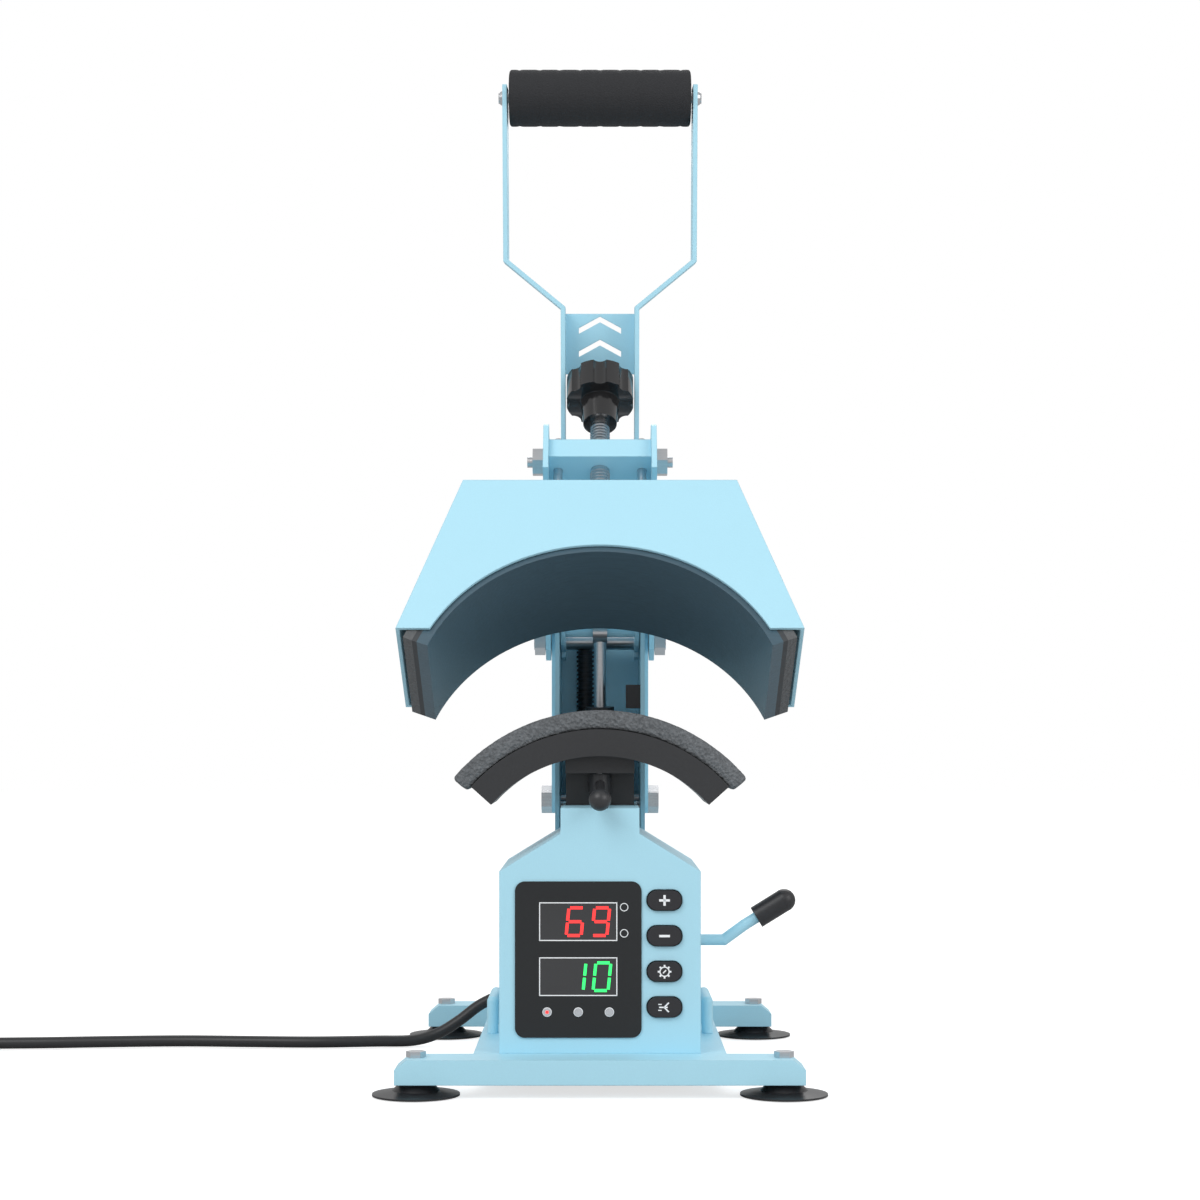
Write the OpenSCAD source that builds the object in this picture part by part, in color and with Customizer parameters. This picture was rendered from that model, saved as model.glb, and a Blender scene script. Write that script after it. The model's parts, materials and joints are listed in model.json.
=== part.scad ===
// Bench press with a heated curved platen that shuts on a padded curved form.
// Millimetres. X is to the right, the front faces -Y, Z is up, and the feet stand on Z = 0.
// The arm and head are drawn shut and then raised to the open pose about the column pivot.

/* [Base] */
// Width of a foot bar
bar_w = 204; // [190:2:220]
// Depth of a foot bar
bar_d = 24; // [20:1:26]
// Spacing of the feet across the base
foot_span = 184; // [176:2:188]
// Spacing of the feet from front to back
foot_reach = 230; // [226:2:240]
// Radius of a suction foot
foot_r = 22; // [18:1:23]

/* [Control box] */
// Width of the control box
box_w = 102; // [98:1:106]
// Depth of the control box
box_d = 117; // [110:1:117]
// Height of the upright sides of the control box
side_h = 92; // [90:1:96]
// Width of the neck on the control box
neck_w = 40; // [38:1:44]
// Thickness of the sheet metal
sheet_t = 1.6; // [1.2:0.1:2]

/* [Platens] */
// Radius of the heated face
heat_r = 94; // [92:0.5:95]
// Depth of both platens
platen_d = 70; // [60:1:72]
// Outer radius of the pad
pad_r = 100; // [99:0.5:101]
// Thickness of the foam pad
pad_t = 10; // [8:0.5:12]
// Thickness of the lower form
form_t = 14; // [10:0.5:16]

/* [Arm] */
// Angle through which the arm opens
open_angle = 32; // [25:1:32]
// Radius of the main pivot pin
pivot_r = 5; // [4:0.5:6]
// Radius of the pressure screw
screw_r = 5; // [4:0.5:6]
// Radius of the pressure knob
knob_r = 19; // [16:0.5:19]

/* [Handle] */
// Distance of the grip from the main pivot
grip_reach = 304; // [280:2:320]
// Radius of the foam grip
grip_r = 15.4; // [13:0.2:17]
// Length of the foam grip
grip_l = 101; // [90:1:101]

/* [Hidden] */
$fn = 64;

cut = 1;
slack = 0.4;
run_gap = 0.05;
blue = "#9fdcf2";
dark = "#1c1d20";
steel = "#b9bcc0";

foot_h = 6.5;
bar_h = 12.5;
bar_end_drop = 5;
bar_end_in = 6;
deck_t = 2;
deck_z = foot_h + bar_h;
rail_w = 30;
rail_x = 49;
bolt_r = 3;
bolt_head_r = 5;
bolt_head_h = 3;
deck_half_y = foot_reach / 2 - bar_d / 2;
staple_r = 3;
staple_l = 50;
staple_h = 20;
staple_x = rail_x + rail_w / 2 - 2 * staple_r;

box_front = -deck_half_y - run_gap * 2 + cut;
box_back = box_front + box_d;
shoulder_z = deck_z + side_h;
neck_z = shoulder_z + 19;
neck_top = neck_z + 13;
panel_w = 64;
panel_h = 79;
panel_x = -11;
panel_z = deck_z + 47.5;
panel_t = 0.8;
panel_corner = 5;
window_w = 39.6;
window_h = 19.7;
window_t = 0.4;
window_x = panel_x;
window_up = 19.2;
window_down = -8.6;
lamp_r = 2;
lamp_t = 0.5;
lamp_x = 31.5 / 2;
lamp_drop = -26.5;
button_w = 17.4;
button_h = 10;
button_x = 32.6;
button_top_z = deck_z + 77.5;
button_step = 18;
button_out = 1.8;
button_in = 4;
board_t = 1.6;
board_gap = 10;
relay = [34, 26, 30];
switch_x = 38;
switch_z = deck_z + 55;
switch_w = 16;
switch_h = 22;
switch_t = 2;
rocker_w = 11;
rocker_h = 17;
rocker_r = 11;
fuse_r = 6;
fuse_z = deck_z + 24;
fuse_l = 8;

column_half = 25;
column_wall = 2.5;
column_front = box_back + run_gap * 2;
column_back = 78;
pivot_y = 60;
pivot_z = 234;
column_top = pivot_z + 11;
stay_t = 2.6;
stay_w = 16;
stay_z = 143;
nut_r = 8;
nut_t = 6;
arm_t = 3;
arm_x = 28;
conduit_r = 4.2;
conduit_rib = 0.9;
conduit_bore = 3;
conduit_pitch = 2.6;
conduit_ribs = 34;
conduit_x = -8.5;
conduit_z = 146;
switch_box = [8, 14, 13];

strut_y = 34;
strut_z = 140;
strut_lean = 4.09;
strut_l = 98.25;
strut_r = 8;
strut_tube_l = 56;
strut_bore = 6.8;
rod_r = 3.5;
eye_r = 6.5;
eye_w = 8;
strut_pin_r = 3;
open_gap = 1.35;

form_apex = 193;
form_centre = form_apex - pad_r;
form_front = -75;
form_half_angle = 48;
pad_half_angle = 50;
post_w = 36;
boss_bottom = 160;
boss_front = -66;
boss_back = -16;
lock_y = -57;
lock_hub_r = 6;
lock_hub_h = 10;
lock_pin_r = 2;
ball_r = 5.6;
ball_y = -113;
ball_z = 147.5;
lever_y = -40;
lever_z = 71;
lever_r = 3;
sleeve_r = 6;
lever_points = [[66, 0], [77, 8], [98, 21]];

head_gap = 5;
heat_apex = form_apex + head_gap;
heat_centre = heat_apex - heat_r;
plate_t = 6;
mat_t = 2.6;
wool_t = 5;
end_angle = 22;
head_front = -77;
head_back = -3;
cover_base_half = 103.5;
cover_top_half = 72.3;
cover_base_z = 148.5;
cover_top_z = 243.5;
arch_gap = 3;
screw_y = -40;
bridge_z = 279;
bridge_t = 12;
bridge_d = 25;
pin_r = 2.5;
pin_x = 23;
pin_top = 300;
screw_bottom = 238;
hub_r = 11;
hub_z = 312;
hub_h = 15;
knob_h = 16;
knob_lobes = 8;
knob_dip_r = 4.6;
drive_r = 4;
drive_reach = 60;
lead_angle = 4;

handle_lean = 8;
strip_t = 2.5;
strip_w = 24;
waist_half = 22;
web_low = 152;
web_high = 186;
shoulder_low = 188;
shoulder_high = 214;
grip_half = 54;
chevron_t = 3.2;
chevron_half = 12;
chevron_rise = 6.5;
chevron_top = 178;
lug_y = -33;
lug_z = 4;
lug_r = 8;
tube_r = 6;

cord_r = 3.25;
cord_sides = 8;
coil_sides = 6;
gland_x = -38;
gland_z = 40;
gland_l = 22;
gland_r = 6;
coil_x = -430;
coil_y = 100;
coil_pitch = 7.1;
coil_in_r = 26.5;
coil_half_turns = 3;
coil_rings = 24;
floor_z = 3.4;
climb_turns = 0.5;
plug_l = 34;
plug_z = 9;
cord_route = [[-38, 37, 40], [-38, 46, 40], [-40, 56, 38], [-47, 65, 34], [-58, 70, 29],
              [-70, 72, 23], [-82, 71, 14], [-94, 69, 7], [-108, 66, 3.4], [-130, 62, 3.4],
              [-165, 58, 3.4], [-200, 60, 3.4], [-240, 63, 3.4], [-280, 60, 3.4],
              [-320, 55, 3.4], [-360, 52.5, 3.4], [-400, 52.2, 3.4], [-430, 52.2, 3.4]];
tail_route = [[-450, 52.2, 10.3], [-470, 52.2, 9.6], [-490, 52.2, 9.1],
              [-505, 52.2, 9]];

// The shut arm and head, raised to the open pose
module raised() {
    translate([0, pivot_y, pivot_z]) rotate([-open_angle, 0, 0])
        translate([0, -pivot_y, -pivot_z]) children();
}

// A profile drawn in X and Z, given depth along Y from y0
module along_y(y0, depth) {
    translate([0, y0 + depth, 0]) rotate([90, 0, 0]) linear_extrude(depth) children();
}

// A profile drawn in Y and Z, given thickness along X from x0
module along_x(x0, thickness) {
    translate([x0, 0, 0]) rotate([90, 0, 90]) linear_extrude(thickness) children();
}

// A round bar along X
module cross_bar(y, z, r, half) {
    translate([-half, y, z]) rotate([0, 90, 0]) cylinder(r = r, h = 2 * half);
}

// A rectangle with round corners, centred
module soft_rect(w, h, r) {
    square([w - 2 * r, h], center = true);
    square([w, h - 2 * r], center = true);
    for (x = [-1, 1], z = [-1, 1]) translate([x * (w / 2 - r), z * (h / 2 - r)]) circle(r = r);
}

// An arched band between two radii, open below, spread to an angle each side of the top
module arch(r_in, r_out, half_angle) {
    reach = 2 * r_out;
    difference() {
        circle(r = r_out, $fn = 96);
        circle(r = r_in, $fn = 96);
        for (s = [-1, 1]) rotate(s * half_angle) translate([s < 0 ? 0 : -reach, -reach])
            square([reach, 2 * reach]);
        translate([-reach, -reach]) square([2 * reach, reach]);
    }
}

// A hexagon nut or bolt head along X, centred on its inner face
module hex_x(x, y, z, r, t) {
    translate([x, y, z]) rotate([0, 90, 0]) cylinder(r = r, h = t, $fn = 6);
}

// A rod between two points
module rod(a, b, r) {
    d = b - a;
    l = norm(d);
    translate(a) rotate([0, acos(d[2] / l), atan2(d[1], d[0])]) cylinder(r = r, h = l);
}

// Foot bars, rails and feet
module foot_bar(side) {
    half = bar_w / 2;
    color(blue) difference() {
        along_y(side * foot_reach / 2 - bar_d / 2, bar_d)
            polygon([[-half, foot_h], [half, foot_h], [half, deck_z - bar_end_drop],
                     [half - bar_end_in, deck_z], [-half + bar_end_in, deck_z],
                     [-half, deck_z - bar_end_drop]]);
        for (x = [-1, 1]) translate([x * foot_span / 2, side * foot_reach / 2, foot_h - cut])
            cylinder(r = bolt_r, h = bar_h + 2 * cut);
    }
}
module front_bar() { foot_bar(-1); }
module rear_bar() { foot_bar(1); }

module rail(side) {
    color(blue) translate([side * rail_x - rail_w / 2, -deck_half_y, foot_h])
        cube([rail_w, 2 * deck_half_y, bar_h - deck_t]);
}
module left_rail() { rail(-1); }
module right_rail() { rail(1); }

module base_plate() {
    half = rail_x + rail_w / 2;
    color(blue) translate([-half, -deck_half_y, deck_z - deck_t])
        cube([2 * half, 2 * deck_half_y, deck_t]);
}

module suction_foot() {
    lip = foot_h * 0.15;
    rotate_extrude() polygon([[0, 0], [foot_r, 0], [foot_r, lip], [foot_r * 0.55, foot_h * 0.4],
                              [foot_r * 0.36, foot_h], [0, foot_h]]);
}
module suction_feet() {
    color(dark) for (x = [-1, 1], y = [-1, 1])
        translate([x * foot_span / 2, y * foot_reach / 2, 0]) suction_foot();
}
module foot_bolts() {
    color(steel) for (x = [-1, 1], y = [-1, 1])
        translate([x * foot_span / 2, y * foot_reach / 2, foot_h]) {
            cylinder(r = bolt_r, h = bar_h);
            translate([0, 0, bar_h]) cylinder(r = bolt_head_r, h = bolt_head_h, $fn = 6);
        }
}

// A low bent rod that stands on each side of the deck
module side_staples() {
    color(blue) for (s = [-1, 1]) translate([s * staple_x, 0, deck_z]) {
        for (y = [-1, 1]) translate([0, y * (staple_l / 2 - staple_r), 0])
            cylinder(r = staple_r, h = staple_h - staple_r);
        translate([0, staple_l / 2 - staple_r, staple_h - staple_r]) rotate([90, 0, 0])
            cylinder(r = staple_r, h = staple_l - 2 * staple_r);
        for (y = [-1, 1]) translate([0, y * (staple_l / 2 - staple_r), staple_h - staple_r])
            sphere(r = staple_r);
    }
}

// Control box
module box_outline(inset) {
    half = box_w / 2 - inset;
    neck = neck_w / 2 - inset;
    polygon([[-half, deck_z + inset], [half, deck_z + inset], [half, shoulder_z - inset / 2],
             [neck, neck_z - inset / 2], [neck, neck_top - inset], [-neck, neck_top - inset],
             [-neck, neck_z - inset / 2], [-half, shoulder_z - inset / 2]]);
}
module control_housing() {
    color(blue) difference() {
        along_y(box_front, box_d - sheet_t) box_outline(0);
        along_y(box_front + sheet_t, box_d) box_outline(sheet_t);
        for (i = [0:3]) translate([button_x, 0, button_top_z - i * button_step])
            along_y(box_front - cut, sheet_t + 2 * cut)
                soft_rect(button_w + 2 * slack, button_h + 2 * slack, button_h / 2);
        cross_bar(lever_y, lever_z, lever_r + 2 * run_gap, box_w);
    }
}
module rear_cover() {
    color(blue) difference() {
        along_y(box_back - sheet_t, sheet_t) box_outline(0);
        translate([gland_x, box_back + cut, gland_z]) rotate([90, 0, 0])
            cylinder(r = cord_r + slack, h = sheet_t + 2 * cut);
    }
}
module display_panel() {
    color(dark) difference() {
        translate([panel_x, 0, panel_z]) along_y(box_front - panel_t, panel_t)
            soft_rect(panel_w, panel_h, panel_corner);
        for (z = [window_up, window_down]) translate([window_x, 0, panel_z + z])
            along_y(box_front - panel_t - cut, window_t + cut)
                soft_rect(window_w, window_h, lamp_r);
    }
}
module display_windows() {
    color("#30343a") for (z = [window_up, window_down]) translate([window_x, 0, panel_z + z])
        along_y(box_front - panel_t, window_t) soft_rect(window_w, window_h, lamp_r);
}
module status_lamps() {
    color("#d8d8d8") for (i = [-1:1]) translate([panel_x + i * lamp_x, 0, panel_z + lamp_drop])
        along_y(box_front - panel_t - lamp_t, lamp_t) circle(r = lamp_r);
}
module circuit_board() {
    color("#1f6b3a") translate([panel_x - panel_w / 2, box_front + board_gap, deck_z + sheet_t])
        cube([panel_w + box_w / 4, board_t, panel_h]);
}
module relay_block() {
    color(dark) translate([-relay[0] / 2, box_front + box_d / 2, deck_z + sheet_t]) cube(relay);
}
module key(i) {
    color(dark) translate([button_x, 0, button_top_z - i * button_step]) {
        along_y(box_front - button_out, button_out + button_in)
            soft_rect(button_w, button_h, button_h / 2 - run_gap);
    }
}
module plus_button() { key(0); }
module minus_button() { key(1); }
module settings_button() { key(2); }
module start_button() { key(3); }

module power_switch_frame() {
    color(dark) translate([switch_x, 0, switch_z]) difference() {
        along_y(box_back, switch_t) soft_rect(switch_w, switch_h, switch_t / 2);
        along_y(box_back - cut, switch_t + 2 * cut)
            square([rocker_w + 2 * slack, rocker_h + 3 * slack], center = true);
    }
}
module power_rocker() {
    rise = rocker_r - switch_t;
    color(dark) translate([switch_x - rocker_w / 2, box_back, switch_z]) intersection() {
        translate([0, -rise + slack, 0]) rotate([0, 90, 0]) cylinder(r = rocker_r, h = rocker_w);
        translate([0, cut, -rocker_h / 2 + slack]) cube([rocker_w, rocker_r, rocker_h - 2 * slack]);
    }
}
module fuse_holder() {
    color(dark) translate([switch_x, box_back, fuse_z]) rotate([-90, 0, 0]) {
        cylinder(r = fuse_r, h = fuse_l / 2);
        cylinder(r = fuse_r * 0.75, h = fuse_l);
    }
}

// Column, stays and main pivot
module column() {
    color(blue) difference() {
        translate([-column_half, column_front, deck_z])
            cube([2 * column_half, column_back - column_front, column_top - deck_z]);
        translate([-column_half + column_wall, column_front - cut, deck_z + column_wall])
            cube([2 * (column_half - column_wall), column_back - column_front - column_wall + cut,
                  column_top]);
        cross_bar(pivot_y, pivot_z, pivot_r, box_w);
        cross_bar(strut_y, strut_z, strut_pin_r, box_w);
        cross_bar(pivot_y, stay_z, strut_pin_r, box_w);
    }
}
module stay_plates() {
    color(blue) for (s = [0, 1]) mirror([s, 0, 0]) difference() {
        along_x(column_half, stay_t) {
            translate([pivot_y - stay_w / 2, stay_z]) square([stay_w, pivot_z - stay_z]);
            translate([pivot_y, stay_z]) circle(d = stay_w);
            translate([pivot_y, pivot_z]) circle(d = stay_w);
        }
        cross_bar(pivot_y, pivot_z, pivot_r, box_w);
        cross_bar(pivot_y, stay_z, strut_pin_r, box_w);
    }
}
module main_pivot_pin() {
    color(steel) cross_bar(pivot_y, pivot_z, pivot_r, arm_x + arm_t + 2 * slack + nut_t);
}
module pivot_nuts() {
    color(steel) for (s = [0, 1]) mirror([s, 0, 0]) difference() {
        hex_x(arm_x + arm_t + slack, pivot_y, pivot_z, nut_r, nut_t);
        cross_bar(pivot_y, pivot_z, pivot_r, box_w);
    }
}
module stay_bolts() {
    color(steel) {
        cross_bar(pivot_y, stay_z, strut_pin_r, column_half + stay_t + nut_t);
        for (s = [0, 1]) mirror([s, 0, 0])
            hex_x(column_half + stay_t, pivot_y, stay_z, nut_r, nut_t);
    }
}
module limit_switch() {
    color(dark) translate([column_half - column_wall - switch_box[0], column_front + cut,
                           pivot_z - 3 * switch_box[2]]) cube(switch_box);
}
module conduit() {
    back = column_back - column_wall;
    ribs_l = conduit_ribs * conduit_pitch;
    y = back - conduit_r - conduit_rib;
    color(dark) translate([conduit_x, y, conduit_z]) rotate_extrude($fn = 24) difference() {
        union() {
            translate([conduit_bore, 0]) square([conduit_r - conduit_bore, ribs_l]);
            for (i = [0:conduit_ribs - 1]) translate([conduit_r - run_gap, (i + 0.25) * conduit_pitch])
                square([conduit_rib + run_gap, conduit_pitch / 2]);
        }
        translate([-conduit_bore, -cut]) square([2 * conduit_bore, ribs_l + 2 * cut]);
    }
}

// Gas strut: its foot pin, cylinder and rod
module strut_frame() {
    translate([0, strut_y, strut_z]) rotate([strut_lean, 0, 0]) children();
}
module strut_foot_pin() {
    color(steel) cross_bar(strut_y, strut_z, strut_pin_r, column_half);
}
module strut_cylinder() {
    color(dark) strut_frame() difference() {
        union() {
            cross_bar(0, 0, eye_r, eye_w / 2);
            cylinder(r = strut_r / 2, h = 2 * eye_r);
            translate([0, 0, 2 * eye_r - cut]) cylinder(r = strut_r, h = strut_tube_l - 2 * eye_r + cut);
        }
        translate([0, 0, 2 * eye_r + cut])
            cylinder(r = strut_bore, h = strut_tube_l - 2 * eye_r - 4 * cut);
        translate([0, 0, 2 * eye_r + cut]) cylinder(r = rod_r + run_gap, h = strut_tube_l);
        cross_bar(0, 0, strut_pin_r + run_gap, eye_w);
    }
}
module strut_rod() {
    piston_z = strut_tube_l - 3 * eye_r + 2 * cut;
    color(steel) strut_frame() difference() {
        union() {
            translate([0, 0, piston_z]) cylinder(r = rod_r, h = strut_l - piston_z);
            translate([0, 0, strut_l]) cross_bar(0, 0, eye_r, eye_w / 2);
        }
        translate([0, 0, strut_l]) cross_bar(0, 0, strut_pin_r + open_gap, eye_w);
    }
}

// Lower form with its pad, post and lock
module form_post() {
    color(dark) translate([-post_w / 2, lock_y + lock_hub_r + cut, neck_top])
        cube([post_w, boss_back - lock_y - lock_hub_r - cut, boss_bottom - neck_top]);
}
module lower_form() {
    color(dark) difference() {
        union() {
            translate([0, 0, form_centre]) along_y(form_front, platen_d)
                arch(pad_r - pad_t - form_t, pad_r - pad_t, form_half_angle);
            translate([-post_w / 2, boss_front, boss_bottom])
                cube([post_w, boss_back - boss_front, form_apex - pad_t - form_t / 2 - boss_bottom]);
        }
        translate([0, lock_y, boss_bottom - cut]) cylinder(r = lock_pin_r, h = form_t / 2 + cut);
    }
}
module foam_pad() {
    color("#4a4c50") translate([0, 0, form_centre]) along_y(form_front, platen_d)
        arch(pad_r - pad_t, pad_r, pad_half_angle);
}
module lock_pin() {
    low = boss_bottom - lock_hub_h - 2 * slack;
    color(steel) translate([0, lock_y, low]) {
        cylinder(r = lock_pin_r, h = boss_bottom + form_t / 2 - low);
        translate([0, 0, -lock_pin_r]) cylinder(r = 2 * lock_pin_r, h = lock_pin_r);
    }
}
module lock_lever() {
    mid = boss_bottom - slack - lock_hub_h / 2;
    color(dark) difference() {
        union() {
            translate([0, lock_y, mid - lock_hub_h / 2]) cylinder(r = lock_hub_r, h = lock_hub_h);
            rod([0, lock_y, mid], [0, ball_y, ball_z], lever_r - slack);
            translate([0, ball_y, ball_z]) sphere(r = ball_r);
        }
        translate([0, lock_y, mid - lock_hub_h]) cylinder(r = lock_pin_r + run_gap, h = 2 * lock_hub_h);
    }
}

// Pull lever on the right side of the box
module lever_bush() {
    color(steel) difference() {
        translate([box_w / 2, lever_y, lever_z]) rotate([0, 90, 0])
            cylinder(r = 2 * lever_r, h = sheet_t);
        cross_bar(lever_y, lever_z, lever_r + run_gap, box_w);
    }
}
function lever_at(i) = [lever_points[i][0], lever_y, lever_z + lever_points[i][1]];
function sleeve_start() = lever_at(1) + 0.3 * (lever_at(2) - lever_at(1));
module pull_lever() {
    inner = box_w / 2 - 4 * lever_r;
    color(blue) {
        rod([inner, lever_y, lever_z], lever_at(0), lever_r);
        rod(lever_at(0), lever_at(1), lever_r);
        rod(lever_at(1), sleeve_start(), lever_r);
        for (i = [0, 1]) translate(lever_at(i)) sphere(r = lever_r + run_gap);
    }
}
module lever_sleeve() {
    color(dark) {
        rod(sleeve_start(), lever_at(2), sleeve_r);
        translate(lever_at(2)) sphere(r = sleeve_r + run_gap);
    }
}

// Arm
module arm_outline() {
    polygon([[pivot_y + 11, pivot_z], [pivot_y + 5, pivot_z - 10], [pivot_y - 6, pivot_z - 10],
             [pivot_y - 44, bridge_z - 16], [screw_y - 17, bridge_z - 11],
             [screw_y - 17, bridge_z + 18], [screw_y - 12, bridge_z + 23],
             [pivot_y - 48, bridge_z + 23], [pivot_y - 6, pivot_z + 40], [pivot_y + 10, pivot_z + 6]]);
}
module arm_plate() {
    rise = lead_drive();
    raised() color(blue) difference() {
        along_x(arm_x, arm_t) arm_outline();
        cross_bar(pivot_y, pivot_z, pivot_r + run_gap, box_w);
        cross_bar(rise[0], rise[1], drive_r, box_w);
        cross_bar(screw_y, bridge_z + bridge_t / 2, strut_pin_r, box_w);
    }
}
function lead_drive() = let (a = open_angle + handle_lean)
    [pivot_y - drive_reach * sin(a), pivot_z + drive_reach * cos(a)];
module right_arm_plate() { arm_plate(); }
module left_arm_plate() { mirror([1, 0, 0]) arm_plate(); }
module bridge() {
    raised() color(blue) difference() {
        translate([-arm_x, screw_y - bridge_d / 2, bridge_z]) cube([2 * arm_x, bridge_d, bridge_t]);
        translate([0, screw_y, bridge_z - cut]) cylinder(r = screw_r + run_gap, h = bridge_t + 2 * cut);
        for (s = [-1, 1]) translate([s * pin_x, screw_y, bridge_z - cut])
            cylinder(r = pin_r + run_gap, h = bridge_t + 2 * cut);
    }
}
module bridge_bolts() {
    raised() color(steel) for (s = [0, 1]) mirror([s, 0, 0]) {
        translate([arm_x, screw_y, bridge_z + bridge_t / 2]) rotate([0, 90, 0])
            cylinder(r = strut_pin_r, h = arm_t + nut_t + strut_pin_r);
        hex_x(arm_x + arm_t, screw_y, bridge_z + bridge_t / 2, nut_r, nut_t);
    }
}
module drive_pin() {
    rise = lead_drive();
    raised() color(steel) cross_bar(rise[0], rise[1], drive_r, arm_x + 2 * arm_t);
}

// Head
module cover_outline(inset) {
    polygon([[-cover_base_half + inset, cover_base_z], [cover_base_half - inset, cover_base_z],
             [cover_top_half - inset, cover_top_z - inset],
             [-cover_top_half + inset, cover_top_z - inset]]);
}
module head_cover() {
    arch_r = heat_r + arch_gap;
    raised() color(blue) difference() {
        along_y(head_front, head_back - head_front) cover_outline(0);
        along_y(head_front + sheet_t, head_back - head_front - 2 * sheet_t)
            translate([0, -cut]) cover_outline(sheet_t);
        translate([0, 0, heat_centre]) along_y(head_front - cut, head_back - head_front + 2 * cut)
            circle(r = arch_r, $fn = 96);
        translate([0, screw_y, cover_top_z - 2 * sheet_t]) cylinder(r = screw_r + cut, h = 3 * sheet_t);
    }
}
module band(r_in, t, front) {
    raised() translate([0, 0, heat_centre]) along_y(front, platen_d)
        arch(r_in, r_in + t, 90 - end_angle);
}
module heated_platen() { color("#3b4250") band(heat_r, plate_t, form_front); }
module heater_mat() { color("#b5552f") band(heat_r + plate_t, mat_t, form_front); }
module insulation() { color("#d9d4c4") band(heat_r + plate_t + mat_t, wool_t, form_front); }
module head_block() {
    low = heat_centre + heat_r;
    raised() color(steel) difference() {
        translate([-post_w, form_front + 2 * form_t / 2, low])
            cube([2 * post_w, platen_d - 2 * form_t, cover_top_z - sheet_t - cut - low]);
        translate([0, 0, heat_centre]) along_y(form_front - cut, platen_d + 2 * cut)
            circle(r = heat_r + plate_t + mat_t + wool_t, $fn = 96);
        translate([0, screw_y, low + form_t + 2 * cut]) cylinder(r = screw_r + cut, h = form_t * 3);
    }
}
module guide_pins() {
    raised() color(steel) for (s = [-1, 1]) translate([s * pin_x, screw_y, cover_top_z])
        cylinder(r = pin_r, h = pin_top - cover_top_z);
}
module pressure_screw() {
    raised() color(steel) translate([0, screw_y, screw_bottom])
        cylinder(r = screw_r, h = hub_z + hub_h / 2 - screw_bottom);
}
module pressure_knob() {
    raised() color(dark) translate([0, screw_y, hub_z]) difference() {
        union() {
            cylinder(r1 = hub_r * 0.85, r2 = hub_r, h = hub_h);
            translate([0, 0, hub_h]) linear_extrude(knob_h) difference() {
                circle(r = knob_r);
                for (i = [0:knob_lobes - 1]) rotate(i * 360 / knob_lobes)
                    translate([knob_r + knob_dip_r * 0.55, 0]) circle(r = knob_dip_r, $fn = 32);
            }
            translate([0, 0, hub_h + knob_h])
                cylinder(r1 = knob_r * 0.62, r2 = knob_r * 0.5, h = knob_h / 8);
        }
        translate([0, 0, -cut]) cylinder(r = screw_r, h = hub_h / 2 + cut);
    }
}

// Handle, drawn upright above the pivot and then leaned forwards
module leaned() {
    translate([0, pivot_y, pivot_z]) rotate([handle_lean, 0, 0]) children();
}
module strip_path() {
    low = waist_half - strip_t;
    high = grip_half - strip_t;
    polygon([[low, -lug_r], [waist_half, -lug_r], [waist_half, shoulder_low],
             [grip_half, shoulder_high], [grip_half, grip_reach + tube_r],
             [high, grip_reach + tube_r], [high, shoulder_high + strip_t / 2],
             [low, shoulder_low + strip_t / 2]]);
}
module handle_side() {
    difference() {
        union() {
            along_y(-strip_w / 2, strip_w) strip_path();
            along_x(waist_half - strip_t, strip_t) {
                circle(r = strip_w / 2 - cut);
                rotate(-handle_lean) translate([lug_y, lug_z]) circle(r = lug_r);
                rotate(-handle_lean) polygon([[0, -lug_r], [lug_y, lug_z - lug_r],
                                              [lug_y, lug_z + lug_r], [0, 3 * lug_r]]);
            }
        }
        cross_bar(0, 0, pivot_r + run_gap, box_w);
        cross_bar(0, drive_reach, drive_r + slack, box_w);
        translate([-box_w, 0, drive_reach - drive_r - slack])
            cube([2 * box_w, lead_play(), 2 * (drive_r + slack)]);
        cross_bar(lead_play(), drive_reach, drive_r + slack, box_w);
        cross_bar(0, grip_reach, tube_r / 2, box_w);
    }
}
function lead_play() = drive_reach * sin(lead_angle);
module chevron(z) {
    for (s = [0, 1]) mirror([s, 0]) polygon([[0, z + chevron_rise], [chevron_half, z],
        [chevron_half, z - chevron_t], [0, z + chevron_rise - chevron_t]]);
}
module handle_frame() {
    leaned() color(blue) {
        handle_side();
        mirror([1, 0, 0]) handle_side();
        along_y(strip_w / 2 - 2 * strip_t, strip_t) difference() {
            translate([-waist_half + strip_t / 2, web_low])
                square([2 * waist_half - strip_t, web_high - web_low]);
            chevron(chevron_top);
            chevron(chevron_top - 2 * chevron_rise);
        }
        rotate([-handle_lean, 0, 0]) cross_bar(lug_y, lug_z, strut_pin_r, waist_half - strip_t / 2);
    }
}
module grip_tube() {
    leaned() color(steel) cross_bar(0, grip_reach, tube_r / 2, grip_half + strip_t);
}
module foam_grip() {
    leaned() color(dark) difference() {
        cross_bar(0, grip_reach, grip_r, grip_l / 2);
        cross_bar(0, grip_reach, tube_r / 2, grip_l);
    }
}

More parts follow.
